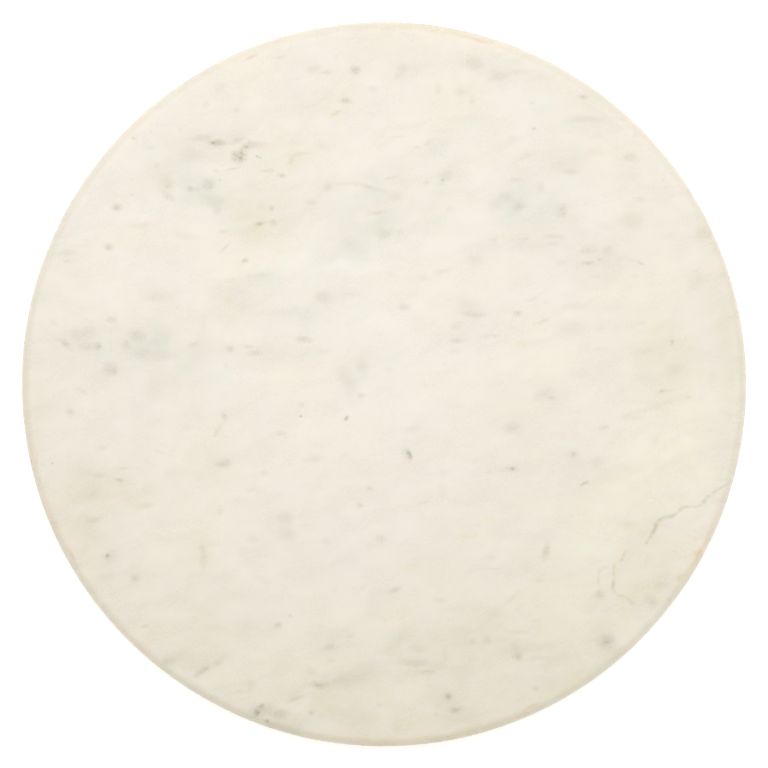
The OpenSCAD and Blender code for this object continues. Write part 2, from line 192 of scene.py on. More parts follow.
# small marks, by colour: x, y, half length, half width, tilt in degrees, strength
MARKS = {}
MARKS["dark"] = [
    (-73, 103, 0.8, 0.7, 0, 1.2), (-64, 98, 0.8, 0.7, 0, 0.7), (-61, 98.6, 0.8, 0.6, 0, 0.7),
    (-61, 96.4, 0.9, 0.8, 0, 0.8), (-63.2, 95.6, 0.7, 0.6, 0, 0.6), (-58.6, 101, 1.1, 0.8, 20, 0.5),
    (-54.2, 97.2, 0.7, 0.6, 0, 1.0), (-52.8, 96.7, 0.6, 0.5, 0, 0.8), (-70, 87, 0.6, 0.5, -20, 0.6),
    (-16, -14.5, 1.3, 0.9, 60, 1.3), (-17, -15.6, 0.7, 0.4, 45, 0.4), (10.9, -30.3, 2.3, 1.2, -65, 1.15),
    (9.6, -28.5, 1.2, 0.7, -60, 0.35), (-35.5, -13.8, 0.7, 0.7, 0, 1.3), (-141.5, -34, 0.6, 0.6, 0, 0.8),
    (54.8, -36, 1.2, 0.9, 10, 0.8), (-118, -73.3, 1.4, 1.3, 0, 0.95), (25, 87, 0.9, 0.8, 0, 0.7),
    (25.2, 85.4, 0.5, 0.4, 0, 0.5), (27.4, -133.4, 1.5, 1.3, 0, 0.75), (-54.3, -140.3, 1.8, 1.6, 20, 1.2),
    (-52.3, -137.6, 1.8, 1.2, 15, 1.0), (-49.8, -144, 1.6, 1.2, 0, 0.9), (95, -110, 1.4, 1.2, 0, 0.5),
    (57.4, -116.8, 1.1, 1.0, 0, 0.5), (-109.5, 18.2, 0.5, 0.5, 0, 0.5), (-136, 17, 1.0, 0.7, -30, 0.35),
    (-121.5, 16, 0.9, 1.1, 0, 0.3), (110, 51.3, 1.8, 0.7, -15, 0.5), (-82.5, 83.5, 0.9, 0.7, 0, 0.3),
    (-114, 75, 0.9, 0.7, 0, 0.3), (-20.3, 140, 0.9, 0.6, 0, 0.45), (-47, 69, 0.8, 0.8, 0, 0.15),
    (-48, 75, 0.6, 0.6, 0, 0.3), (-12.4, 134, 0.9, 0.8, 0, 0.25), (-16.4, 121, 1, 0.7, 0, 0.28),
    (57.5, 76, 0.8, 0.7, 0, 0.15), (76.5, 72.5, 0.7, 0.9, 0, 0.25), (-116, 5.3, 1.4, 0.7, 0, 0.1),
    (-68, -34.5, 1.4, 0.8, 0, 0.14), (-113, -41, 1.6, 0.6, -10, 0.3), (-68, -13.5, 0.6, 0.8, 0, 0.25),
    (-106.5, -83, 0.8, 0.7, 0, 0.3), (-77, -78, 0.5, 0.9, 0, 0.35), (92, -90, 1.2, 1.0, 0, 0.12),
    (64.6, -130, 0.6, 0.6, 0, 0.4), (81, -30, 0.9, 0.8, 0, 0.22), (123, 18, 0.6, 1.0, 0, 0.3),
    (-45.5, -103, 1.2, 0.8, 10, 0.22), (-40, -99, 0.5, 0.5, 0, 0.3), (4.8, -87.8, 1.6, 0.6, 25, 0.2),
    (-28, -128.5, 1.6, 0.7, -5, 0.25), (-31, -140.6, 0.9, 0.7, 0, 0.3), (30, -139.4, 2.0, 0.9, 0, 0.35),
    (57, 30, 1.0, 0.8, 0, 0.25), (-6.5, -44.5, 0.9, 0.7, -15, 0.2), (-10, -52, 0.9, 0.7, 0, 0.22),
    (-53, 68.3, 1.1, 0.7, 0, 0.35), (-43.5, 89, 0.9, 0.7, 0, 0.22), (-107, 105, 0.7, 0.5, 0, 0.3),
    (85, 122.5, 1.1, 0.7, 0, 0.25), (64, 109, 0.7, 0.6, 0, 0.22), (-59.5, 52.6, 1.0, 0.8, 0, 0.2),
    (-134, -12, 1.1, 1.1, 0, 0.2), (-118, 58.5, 1.2, 1.0, 0, 0.2), (-10, -5, 1.1, 0.6, 0, 0.2),
    (118.5, -3, 0.6, 0.5, 0, 0.25),
]
MARKS["brown"] = [
    (-71, 103, 4.5, 1.6, -3, 0.6), (-62, 97, 4, 3.4, 0, 0.65), (-58, 101.5, 3.8, 2.4, 25, 0.5),
    (-53, 102, 4, 2, 0, 0.25), (-62, 104, 4, 1.5, 20, 0.35), (-64, 92, 4.5, 0.6, 12, 0.3),
    (-93, 85, 5.5, 4, 80, 0.22), (-92, 84.5, 1.8, 1.6, 0, 0.3), (-82.8, 83.4, 2.2, 1.5, -10, 0.38),
    (-114, 75.2, 2.8, 2.2, 0, 0.45), (-76, 119, 1.8, 1.8, 0, 0.22), (-57, 139.3, 4, 1, 25, 0.3),
    (-117.5, 58.3, 2.6, 2, 0, 0.4), (-104, 67.5, 6, 1.5, 0, 0.2), (-69, 65, 2.2, 1.2, 0, 0.25),
    (-68, 58, 3.2, 0.7, 42, 0.35), (-107.5, 80.6, 1.2, 0.8, 0, 0.25), (-107, 105, 1.6, 1, 0, 0.3),
    (-30, 134.5, 3.8, 2.2, 0, 0.28), (-24.5, 133, 3, 1.3, 0, 0.3), (-12.4, 134, 2.8, 2.2, 0, 0.5),
    (-16.2, 120.8, 3.2, 1.7, 0, 0.42), (-20.6, 115.3, 3.4, 1.1, 30, 0.24), (8, 135, 3, 2.2, 0, 0.25),
    (38, 137, 5, 3.8, 0, 0.32), (57, 133, 6, 1.6, 5, 0.2), (33, 124.6, 2.8, 2.2, 0, 0.3),
    (23, 126, 1.8, 3.5, 0, 0.2), (-47, 69, 2, 2, 0, 0.38), (-48, 75, 1.4, 1.6, 0, 0.4),
    (-53, 68.4, 2.8, 1.2, 5, 0.5), (-43.5, 89, 2.4, 1.4, -10, 0.36), (-3, 73, 5, 1, 10, 0.25),
    (80, 90.5, 4, 1.6, 0, 0.3), (105, 70, 6.5, 5, 0, 0.16), (76, 73.5, 2.6, 3.6, 0, 0.35),
    (136, 64, 4, 4, 0, 0.25), (-136, 56, 5, 1.6, 0, 0.22), (-135.5, 52.6, 2, 0.8, 0, 0.25),
    (-139, 19, 3.5, 1, 0, 0.18), (-134.5, 15.5, 4, 1, -38, 0.16), (-136, 17.5, 2.6, 1.8, -30, 0.3),
    (-105, 20, 3.8, 2.8, 0, 0.16), (-110, 16.5, 2.4, 2.6, 0, 0.3), (-117, 6.5, 4.2, 3.8, 0, 0.3),
    (-116, 5.2, 2.8, 1.8, 0, 0.25), (-81, 17, 3, 1.4, 20, 0.25), (-65.5, 15, 2, 1.8, 0, 0.35),
    (-58, 16, 3.2, 1, 0, 0.25), (-55, 13, 4, 1.4, 0, 0.3), (-129, -3, 2.6, 1.4, -20, 0.2),
    (-34, 19, 3.8, 1.8, -8, 0.4), (-44, -21, 2.6, 1.3, 0, 0.25), (-31.4, 77.6, 3.4, 1.7, 0, 0.24),
    (-30, -32, 4.6, 2.2, 8, 0.25), (-35, -9, 1.3, 1.5, 0, 0.2), (-68, -34, 4, 2.2, 8, 0.38),
    (-113, -41, 2.6, 1.1, -10, 0.4), (-111, -36, 3.2, 0.7, 5, 0.25), (-96, -29, 2.6, 0.8, -20, 0.2),
    (-56, -45, 3.5, 1, 15, 0.2), (-51, -38, 2, 1.4, 0, 0.2), (-68, -14, 1.8, 2.4, 20, 0.38),
    (25, 48, 5, 1.2, 15, 0.18), (46, 20.5, 5.5, 1.1, 2, 0.2), (87, 51.6, 3, 1.1, 0, 0.45),
    (95, 57, 2.8, 2.6, 0, 0.28), (107, 46, 2.2, 1, 0, 0.2), (133, 44, 5, 4.5, 0, 0.15),
    (63, 36, 3.2, 0.8, 20, 0.2), (68, 27, 3, 0.8, 25, 0.22), (81, 33, 7, 1.8, 3, 0.15),
    (123, 18, 1.1, 2, 0, 0.3), (111, 14, 4, 1.5, 10, 0.2), (124, 6, 4.5, 3.2, 10, 0.2),
    (94, -18.5, 2.6, 1.1, 12, 0.35), (85.2, -42.6, 3, 0.8, 30, 0.22), (68, -4.5, 5.5, 3.2, 20, 0.22),
    (71.5, -6, 2.4, 1.4, 0, 0.3), (55, -19, 5.5, 3, 0, 0.26), (118.5, -3, 1.3, 1, 0, 0.3),
    (121, -2.8, 6, 0.8, 10, 0.15), (54, -36, 3.4, 1.6, 0, 0.35), (-125, -58, 5, 2.2, 0, 0.2),
    (-106.5, -83, 2.4, 2.2, 0, 0.35), (-118, -82, 5, 2, 10, 0.18), (-56, -66, 3, 2.5, 0, 0.18),
    (-42, -57, 4.4, 3.2, 0, 0.14), (-41, -64, 4.6, 3.4, 0, 0.12), (-70, -54, 1.8, 3, 0, 0.18),
    (-77.5, -70, 1.2, 3, 0, 0.2), (-92, -118, 4.5, 2, 10, 0.3), (-70, -118, 5, 1.4, 25, 0.2),
    (-1.5, -66, 3, 2, 0, 0.2), (-45.5, -103, 2.2, 1.7, 8, 0.36), (-28, -128.4, 4.6, 1.8, -6, 0.5),
    (-38, -134.5, 5, 1.1, 20, 0.35), (-31, -140.5, 2, 1.4, 0, 0.35), (-44, -141, 4.5, 2.4, 0, 0.4),
    (57, -116, 2.6, 2.4, 0, 0.35), (66, -117, 6, 1.4, 5, 0.18), (44, -109, 2.4, 2, 0, 0.25),
    (47, -98, 5, 3, 40, 0.15), (104, -60, 4.2, 2.2, 0, 0.2), (127.6, -52.8, 1.5, 1.2, 0, 0.2),
    (114.9, -63.4, 1.3, 1.3, 0, 0.2), (122.6, -56.8, 1.5, 1.1, 20, 0.15), (136.6, -49.8, 1.1, 1.3, 0, 0.2),
    (97.8, -86.5, 1.1, 1.3, 0, 0.15), (106, -93.5, 1.8, 1.3, -30, 0.2), (-2, -137, 1.5, 1, 0, 0.2),
    (-14, -126, 9.5, 4.4, 8, 0.12), (-22, -118, 2.4, 1, 0, 0.2), (17, -50.5, 3, 0.8, 14, 0.2),
    (-24.5, -67, 2.4, 1.8, 0, 0.15),
]
MARKS["grey"] = [
    (-79, 105, 5, 1.7, 5, 0.3), (-79.5, 83, 1.4, 1.2, 0, 0.25), (-75, 85.5, 3.6, 3, 30, 0.4),
    (-74, 84, 1.6, 0.8, 60, 0.25), (-72, 91, 1.6, 1, 0, 0.25), (-92, 80, 3.6, 2, -40, 0.28),
    (-97, 93, 1.6, 1.8, 0, 0.2), (-63, 117, 1.8, 1.4, 0, 0.25), (-70, 127, 4, 3.4, 0, 0.15),
    (-87, 108.5, 0.9, 0.9, 0, 0.2), (-71, 74, 2.8, 1.8, 40, 0.25), (-85, 63, 5.5, 2, -10, 0.2),
    (-5, 126, 3, 1.8, 0, 0.18), (6, 131.5, 2.4, 2, 0, 0.2), (48.5, 131, 4.8, 3, 0, 0.28),
    (19, 103, 2.6, 1.4, 30, 0.28), (14, 101, 2, 1, 0, 0.2), (6, 105.6, 5, 0.6, 6, 0.25),
    (3, 88, 3.4, 0.9, 8, 0.28), (18, 86, 1.4, 1.2, 0, 0.28), (-24, 84, 2.2, 2.2, 0, 0.28),
    (-7, 84.3, 3.4, 1.4, -10, 0.18), (0, 64, 4, 2.6, 20, 0.28), (7, 65, 1.8, 1.8, 0, 0.2),
    (28, 74.5, 2.4, 1.6, 0, 0.16), (47, 76, 3, 3, 0, 0.2), (52, 80, 3.4, 2.6, 0, 0.2),
    (57.5, 76, 3.2, 2.8, 0, 0.3), (56, 87, 3, 1.3, 0, 0.28), (85, 122.5, 2.2, 1.4, 0, 0.4),
    (63, 120, 1.4, 1, 45, 0.25), (64, 109, 1.4, 1.2, 0, 0.3), (55, 105, 2.4, 1.6, 0, 0.2),
    (87, 113, 8, 1.6, 2, 0.28), (109, 79, 3.2, 1.5, 0, 0.25), (72, 60, 3.4, 1, 0, 0.2),
    (61, 62, 1, 0.8, 0, 0.28), (47, 61.5, 1.8, 1.2, 0, 0.28), (120, 84, 0.8, 0.7, 0, 0.25),
    (119, 87, 1, 0.8, 0, 0.3), (-126, 22, 4, 2.4, 0, 0.2), (-121.7, 16, 1.8, 2.2, 0, 0.4),
    (-67.5, 8, 1.3, 1.6, 0, 0.2), (-77, 25, 1.6, 3, 0, 0.18), (-134, -12, 2.3, 2, 0, 0.36),
    (-26, 14, 4, 2, 0, 0.16), (8.4, 32.9, 3.3, 1.9, 0, 0.36), (38.8, 29.6, 6, 1.7, -3, 0.32),
    (35, 34, 6.5, 5, 0, 0.16), (17, 45, 3.4, 2, 0, 0.16), (-14, -1, 3.5, 4.5, 0, 0.18),
    (17, 0, 1.5, 1.3, 0, 0.16), (25, -45, 2.6, 4, 0, 0.12), (-5, -30.5, 1.8, 0.6, 0, 0.16),
    (-6.5, -44.5, 2, 1.5, -15, 0.3), (45, -37.5, 1.5, 1, 0, 0.25), (-42, -57, 4.2, 3, 0, 0.08),
    (-41, -64, 4.6, 3.4, 0, 0.08), (57, 30, 2.2, 1.6, 0, 0.35), (55, 24, 2.4, 1.6, 0, 0.12),
    (83, 5, 5, 3, 0, 0.12), (130, -5.5, 1.6, 0.8, 0, 0.3), (105, -14.5, 6.5, 1.5, 3, 0.2),
    (81, -30, 2.2, 1.9, 0, 0.38), (-90, -38, 4, 3.4, 0, 0.12), (-10.2, -51.8, 2, 1.4, 0, 0.32),
    (4.5, -88, 4.2, 1.6, 25, 0.38), (24, -92.5, 3.4, 1.5, 0, 0.2), (46, -74, 3, 1.4, 0, 0.18),
    (47, -79, 4, 0.6, 0, 0.16), (-21, -87.5, 2, 1.8, 0, 0.12), (-40, -99, 1.2, 1, 0, 0.25),
    (-14.5, -107.5, 2.6, 1.4, 20, 0.25), (-23.4, -112.5, 3.8, 1.9, 15, 0.28), (-31, -123, 3, 2.2, 0, 0.2),
    (-14, -126, 9, 4, 8, 0.1), (14, -113, 4, 2.4, 0, 0.25), (13, -119, 8.5, 1.8, 0, 0.28),
    (18, -123, 5, 1.4, 0, 0.28), (26, -115, 1.4, 3, 0, 0.12), (27.4, -133.4, 2.8, 2.4, 0, 0.32),
    (30, -139, 4, 1.8, 0, 0.4), (22, -141, 1.5, 1, 0, 0.2), (38, -110, 1.6, 1.6, 0, 0.18),
    (-57, -128, 3.2, 2.2, 0, 0.3), (-60, -131, 5, 1.4, 0, 0.16), (-52, -139, 6, 3, 15, 0.5),
    (56, -112, 2.6, 2.2, 0, 0.2), (64.6, -130, 1.8, 1.3, 0, 0.25), (-77.5, -122.5, 4.8, 1.5, 35, 0.35),
    (-102, -103.5, 2.2, 0.9, 15, 0.35), (78, -82, 3.2, 1.4, 0, 0.12),
]
MARKS["green"] = [
    (-84, 98, 6, 4, 0, 0.16), (-73, 78, 6, 3, -20, 0.2), (-126, 16, 6, 2.6, 0, 0.25),
    (-131, 21, 4, 3, 0, 0.2), (-105.6, 21, 4.4, 3.4, 0, 0.26), (-103, 13, 4, 3.4, 0, 0.17),
    (-96, 12, 5, 3, 0, 0.18), (-98, -3, 5, 5.4, 0, 0.14), (-59.5, 52.6, 2.2, 1.5, 8, 0.5),
    (-53, 46.5, 6, 1.5, 4, 0.22), (-66, 44, 3, 1, 10, 0.2), (-26.4, 37.6, 4.4, 3.1, 0, 0.32),
    (-14, 38.3, 5, 0.9, -3, 0.2), (-39, 31, 7, 2.4, 0, 0.12), (-9.5, 7, 3.4, 3.8, 0, 0.22),
    (-17, 4, 4, 4.4, 0, 0.18), (-10, -5, 2.4, 1.3, 0, 0.35), (-13, 58, 8, 6, 0, 0.12),
    (39, 53, 5, 3.6, 0, 0.18), (31, 25, 3.4, 2.2, 20, 0.25), (31, 18.4, 4, 1.2, 4, 0.36),
    (30, 14, 3, 1.6, 0, 0.16), (12, -19, 4.6, 2.3, 5, 0.2), (67, 84, 2, 2.6, 0, 0.25),
    (91, -34, 3, 3, 0, 0.2), (116, -24, 1.8, 3, -15, 0.2), (-120, -27, 2, 1.2, 0, 0.2),
    (-122, -39, 4.4, 1.6, 0, 0.3), (-124.5, -47, 3.4, 3.6, 0, 0.13), (-102, -52, 4.2, 1.6, 10, 0.32),
    (-77, -75, 2, 5, 0, 0.25), (-117, -74, 4, 3, 0, 0.18), (69, -71.5, 1.9, 4.4, -15, 0.46),
    (92, -90, 2.8, 2.4, 0, 0.35), (95, -110, 4.7, 4.1, 0, 0.52), (126, -82.5, 2, 1.5, 40, 0.4),
    (118, -86, 3.8, 1.8, 10, 0.2), (54, -92, 6, 1.2, 40, 0.2), (66, -84, 4, 1.2, 0, 0.16),
    (58, -106, 4.4, 0.9, 0, 0.2), (65, -101, 3.4, 1, 5, 0.18), (80, 24, 8, 4, 10, 0.16),
    (110, 26, 1.6, 1, 0, 0.22), (9.8, -30, 3.6, 2.5, -60, 0.28), (-40, 95, 2.2, 1.4, 45, 0.4),
    (-36, 98, 6, 1.2, 10, 0.28), (-50, 91, 3.4, 1, 3, 0.36), (-44, 139.4, 3.2, 1, 10, 0.25),
    (38, 121, 2, 2, 0, 0.2), (26, 88.5, 4, 2.4, 30, 0.28), (5, 80, 4.2, 2.8, 0, 0.24),
    (90, 99, 5, 2.4, 0, 0.16), (105, 97, 3.6, 2.4, 10, 0.36), (60, 97, 6, 1.6, 18, 0.18),
    (73, 63, 5.5, 1, 0, 0.25), (87, 57, 4, 1.6, 0, 0.25), (92, 53, 1.2, 1, 0, 0.32),
    (107, 106, 1.4, 0.8, 45, 0.3), (-96, 37, 7, 3, 0, 0.22), (-71, -20, 1.4, 4, -30, 0.28),
    (114, -93, 4.4, 3.4, -20, 0.3),
]
MARKS["yellow"] = [
    (-66, 35, 2, 2, 0, 0.45), (-20.8, 115.4, 4, 1.8, 30, 0.5), (-78, -73.5, 4.2, 7, 0, 0.3),
    (92, 24, 1.8, 2.6, 0, 0.4), (58, 17, 6, 1.6, 5, 0.35), (36, -65, 6.5, 2, 6, 0.5),
    (46, -58, 3.4, 2, 0, 0.5), (10.4, -78.6, 5, 2, 5, 0.6), (117, 25, 6, 4, 0, 0.3),
    (117.5, -93, 1.2, 1.2, 0, 0.8), (-54, 67, 4, 2, 0, 0.35), (98.4, -79, 1.6, 3, 0, 0.5),
    (103, -91, 4, 1.6, 0, 0.3), (116, -60, 2.6, 3, 0, 0.25),
]
MARKS["red"] = [
    (-116, 27.5, 3, 1.8, 0, 0.4), (-141, 26.5, 2.2, 2, 0, 0.25), (2, 6, 2.4, 1.6, 0, 0.15),
    (76, 52, 3.4, 1.4, 10, 0.2), (90, 46, 3.2, 1, 0, 0.2), (25, -38, 3.4, 2.2, 0, 0.15),
    (-100, 101, 2.4, 1.4, 0, 0.2), (-35, 19.5, 2.2, 1.3, 0, 0.3), (85.5, -42.4, 3.1, 0.9, 30, 0.5),
    (116, -61, 1.6, 2.4, -15, 0.35), (98, -85, 1, 2.6, 0, 0.35), (26, 9, 1, 1, 0, 0.2),
]
MARKS["rust"] = [
    (134.2, -72.6, 3, 1.8, 52, 0.4), (137.5, -67.5, 2.2, 1.2, 60, 0.3), (130, -79, 6, 1.2, 52, 0.15),
    (122, -92, 1.2, 1, 0, 0.35), (38, 147.3, 7, 0.8, -16, 0.3), (-57, 139.6, 3, 0.7, 24, 0.25),
    (-133, -73, 4, 0.8, -62, 0.3), (62, -138, 6, 0.8, 26, 0.3),
]

# what a mark of full strength multiplies the stone's colour by
MARK_TINTS = {
    "dark": (0.7, 0.69, 0.64), "brown": (0.62, 0.575, 0.49), "grey": (0.62, 0.607, 0.562),
    "green": (0.61, 0.63, 0.53), "yellow": (0.968, 0.95, 0.8), "red": (0.78, 0.66, 0.6),
    "rust": (0.8, 0.6, 0.42),
}

# thin veins: half width, strength, colour and the points they go through
VEINS = [
    (1.0, 0.32, "brown", [(148.8, -41.6), (143.7, -44.2), (139.8, -47.1), (136.4, -49.3), (136.2, -51.4),
                          (133.4, -52.4), (131, -52.3)]),
    (0.8, 0.2, "brown", [(150, -41.5), (146, -40.8), (141, -41)]),
    (1.15, 0.4, "brown", [(131, -52.3), (127.5, -52.7), (125.3, -54.8), (122.8, -56.5), (118.9, -57),
                          (116.4, -59.1), (115.5, -61.7), (114.6, -63.8), (112.9, -66.4), (111.2, -68.9)]),
    (1.1, 0.36, "green", [(103.5, -71), (101.8, -74), (100.8, -75.8)]),
    (1.1, 0.27, "brown", [(98.4, -77), (98, -79.6), (98.3, -83), (97.4, -86.9), (98.9, -89.8), (103.5, -91.1),
                          (106.1, -94.1)]),
    (1.2, 0.28, "red", [(96, -78), (92.4, -78.7), (91.4, -81), (91.6, -87)]),
    (1.3, 0.2, "grey", [(-22, 85.3), (-14, 85.6), (-9, 85), (-6, 84), (-2, 82.8), (2, 81.8)]),
    (0.9, 0.24, "red", [(103, 53.4), (107, 52.5), (110.7, 51.6)]),
    (1.3, 0.2, "grey", [(-81, -125.5), (-77.5, -122.5), (-73, -120.5), (-69, -119)]),
    (1.7, 0.16, "green", [(101, -14), (108, -12), (114, -10), (119, -8.5), (124, -6.8)]),
]

# tinted stretches of the rim, the one at 272 degrees being painted shade that darkens the bottom rim:
# direction in degrees from +X, half width in degrees, strength
RIM_STAINS_AND_SHADE = [
    (205, 25, 0.7), (80, 14, 0.7), (238, 25, 0.65), (272, 24, 1.1), (330, 7, 0.5),
]


# ---------------------------------------------------------------- mesh helpers

def new_object(name, vertices, faces):
    """A mesh object in the scene, from a list of points and a list of faces."""
    mesh = bpy.data.meshes.new(name)
    mesh.from_pydata([tuple(v) for v in vertices], [], faces)
    mesh.update()
    obj = bpy.data.objects.new(name, mesh)
    bpy.context.scene.collection.objects.link(obj)
    return obj


def on_circle(radius, count, z=0.0):
    """Points spread evenly round a circle about the turning axis."""
    turns = [2 * math.pi * i / count for i in range(count)]
    return [(radius * math.cos(t), radius * math.sin(t), z) for t in turns]


def band(start, count):
    """The faces between two rings of `count` points that follow each other in a list, from `start` on."""
    after = [(i + 1) % count for i in range(count)]
    return [[start + i, start + after[i], start + count + after[i], start + count + i] for i in range(count)]


def disc_grid(cells, radius):
    """A square grid wrapped onto a disc: its points, its faces and its rim's points in turning order."""
    steps = np.linspace(-1, 1, cells + 1)
    a, b = np.meshgrid(steps, steps, indexing="ij")
    wide = np.abs(a) > np.abs(b)
    with np.errstate(divide="ignore", invalid="ignore"):
        turn = np.where(wide, math.pi / 4 * b / a, math.pi / 2 - math.pi / 4 * a / b)
    turn = np.nan_to_num(turn)
    reach = np.where(wide, a, b) * radius
    points = np.stack([reach * np.cos(turn), reach * np.sin(turn)], axis=-1).reshape(-1, 2)
    index = np.arange((cells + 1) ** 2).reshape(cells + 1, cells + 1)
    faces = np.stack([index[:-1, :-1], index[1:, :-1], index[1:, 1:], index[:-1, 1:]], axis=-1)
    rim = np.unique(np.concatenate([index[0], index[-1], index[:, 0], index[:, -1]]))
    angle = np.arctan2(points[rim, 1], points[rim, 0])
    return points, faces.reshape(-1, 4).tolist(), rim[np.argsort(angle)]


def ripple(angle, waves, seed):
    """A smooth periodic wobble of about -1 to 1 round a circle."""
    rng = np.random.default_rng(seed)
    phases = rng.uniform(0, 2 * math.pi, len(waves))
    parts = [np.sin(w * angle + p) / len(waves) ** 0.5 for w, p in zip(waves, phases, strict=True)]
    return np.sum(parts, axis=0)


def edge_profile(high, low, above, below, arc_steps=10, wall_steps=6, below_steps=5):
    """Steps (distance in from the rim, height) down a slab's edge, from its flat top to its underside."""
    rows = []
    for i in range(1, arc_steps + 1):
        t = math.pi / 2 * i / arc_steps
        rows.append((above * (1 - math.sin(t)), high - above * (1 - math.cos(t))))
    for i in range(1, wall_steps + 1):
        rows.append((0, high - above + (low + below - high + above) * i / wall_steps))
    for i in range(1, below_steps + 1):
        t = math.pi / 2 * i / below_steps
        rows.append((below * (1 - math.cos(t)), low + below * (1 - math.sin(t))))
    return rows


# how much a hand-finished edge wavers: its inset from the full radius, and the size of its rounding
EDGE_WAVER = 0.06 * MM
ROUNDING_WAVER = 0.06
# the rings of the underside, as shares of the top's radius
UNDERSIDE_RINGS = (0.93, 0.82, 0.62)


def marble_slab(name, cells=240):
    """The marble top as one closed mesh: a dense flat face, an eased edge that wavers, and the underside."""
    flat_radius = TOP_RADIUS - TOP_EDGE
    points, faces, rim = disc_grid(cells, flat_radius)
    vertices = [(x, y, TOP_Z) for x, y in points]
    angle = np.arctan2(points[rim, 1], points[rim, 0])
    count = len(rim)
    inset = EDGE_WAVER * (1 + ripple(angle, (2, 3, 5, 8, 13), 4))
    softness = 1 + ROUNDING_WAVER * ripple(angle, (3, 7, 11, 17), 9)
    ring = list(rim)
    for inward, z in edge_profile(TOP_Z, TOP_UNDERSIDE, TOP_EDGE, UNDER_EDGE):
        start = len(vertices)
        r = TOP_RADIUS - inset - inward * softness
        vertices += list(zip(r * np.cos(angle), r * np.sin(angle), np.full(count, z), strict=True))
        fresh = list(range(start, start + count))
        faces += [[ring[i], fresh[i], fresh[(i + 1) % count], ring[(i + 1) % count]] for i in range(count)]
        ring = fresh
    # the underside: each ring inward has half the points of the last, and then they meet in the middle
    for share in UNDERSIDE_RINGS:
        start = len(vertices)
        half = count // 2
        turn = angle[::2]
        r = TOP_RADIUS * share
        vertices += [(r * math.cos(t), r * math.sin(t), TOP_UNDERSIDE) for t in turn]
        fresh = list(range(start, start + half))
        for i in range(half):
            a, b, c = ring[2 * i], ring[2 * i + 1], ring[(2 * i + 2) % count]
            d, e = fresh[i], fresh[(i + 1) % half]
            faces += [[a, d, b], [b, d, e], [b, e, c]]
        ring, count, angle = fresh, half, turn
    faces.append(ring[::-1])
    return new_object(name, vertices, faces)


def cut_holes(obj, centres, radius, low, high, sides=48):
    """Cuts upright round holes into the object."""
    vertices, faces = [], []
    for x, y, _ in centres:
        start = len(vertices)
        for z in (low, high):
            vertices += [(x + dx, y + dy, z) for dx, dy, _ in on_circle(radius, sides)]
        faces += band(start, sides)
        faces.append(list(range(start + sides - 1, start - 1, -1)))
        faces.append(list(range(start + sides, start + 2 * sides)))
    cutter = new_object("hole_cutter", vertices, faces)
    boolean = obj.modifiers.new("holes", "BOOLEAN")
    boolean.object = cutter
    boolean.solver = "EXACT"
    apply_modifiers(obj)
    bpy.data.objects.remove(cutter)


def apply_modifiers(obj):
    """Replaces the object's mesh by what its modifiers make of it."""
    bpy.context.view_layer.update()
    evaluated = obj.evaluated_get(bpy.context.evaluated_depsgraph_get())
    mesh = bpy.data.meshes.new_from_object(evaluated)
    obj.modifiers.clear()
    obj.data = mesh


def smooth(obj, sharp_degrees=35):
    """Smooth shading, with edges sharper than the given angle kept sharp."""
    obj.data.shade_smooth()
    obj.data.set_sharp_from_angle(angle=math.radians(sharp_degrees))


def coordinates(mesh):
    """The mesh's points, one row each."""
    co = np.empty(len(mesh.vertices) * 3, np.float32)
    mesh.vertices.foreach_get("co", co)
    return co.reshape(-1, 3).astype(float)


# ---------------------------------------------------------------- painting the marks onto the marble top

def warped(xy, size, amount, seed):
    """The points moved about by smooth noise, so that painted shapes get natural outlines."""
    offset = Vector((seed * 17.3, seed * 5.1, seed * 2.7))
    moved = [noise.noise_vector(Vector((x, y, 0)) / size + offset) for x, y in xy]
    return xy + amount * np.array([(v.x, v.y) for v in moved])


def along_and_across(xy, x, y, tilt):
    """The points' distances from (x, y) along a line tilted by that many degrees, and across it."""
    c, s = math.cos(math.radians(tilt)), math.sin(math.radians(tilt))
    dx, dy = xy[:, 0] - x, xy[:, 1] - y
    return dx * c + dy * s, dy * c - dx * s


def patches(xy, shapes):
    """How strongly each point lies in any of the soft elliptical patches, from 0 to 1."""
    clear = np.ones(len(xy))
    for x, y, length, width, tilt, strength in shapes:
        along, across = along_and_across(xy, x, y, tilt)
        clear *= 1 - strength * np.exp(-0.9 * ((along / length) ** 2 + (across / width) ** 2))
    return 1 - clear


def vein_marks(half_width, strength, points):
    """A vein as a chain of slim marks, one from each point to the next, thinner towards both ends."""
    marks = []
    steps = len(points) - 1
    for i, ((x0, y0), (x1, y1)) in enumerate(zip(points, points[1:], strict=False)):
        taper = 0.6 + 0.4 * math.sin(math.pi * (i + 0.5) / steps)
        marks.append(((x0 + x1) / 2, (y0 + y1) / 2, 0.62 * math.hypot(x1 - x0, y1 - y0), half_width * taper,
                      math.degrees(math.atan2(y1 - y0, x1 - x0)), strength))
    return marks


# a mark's area is this many times its size, and this many units more
REACH = 1.4
ROOM = 2.4
# two marks share a layer if no point is within this many times the area of both
APART = 1.15
# the offset stored for a point that is in no mark's area
FAR_OFF = 9.0


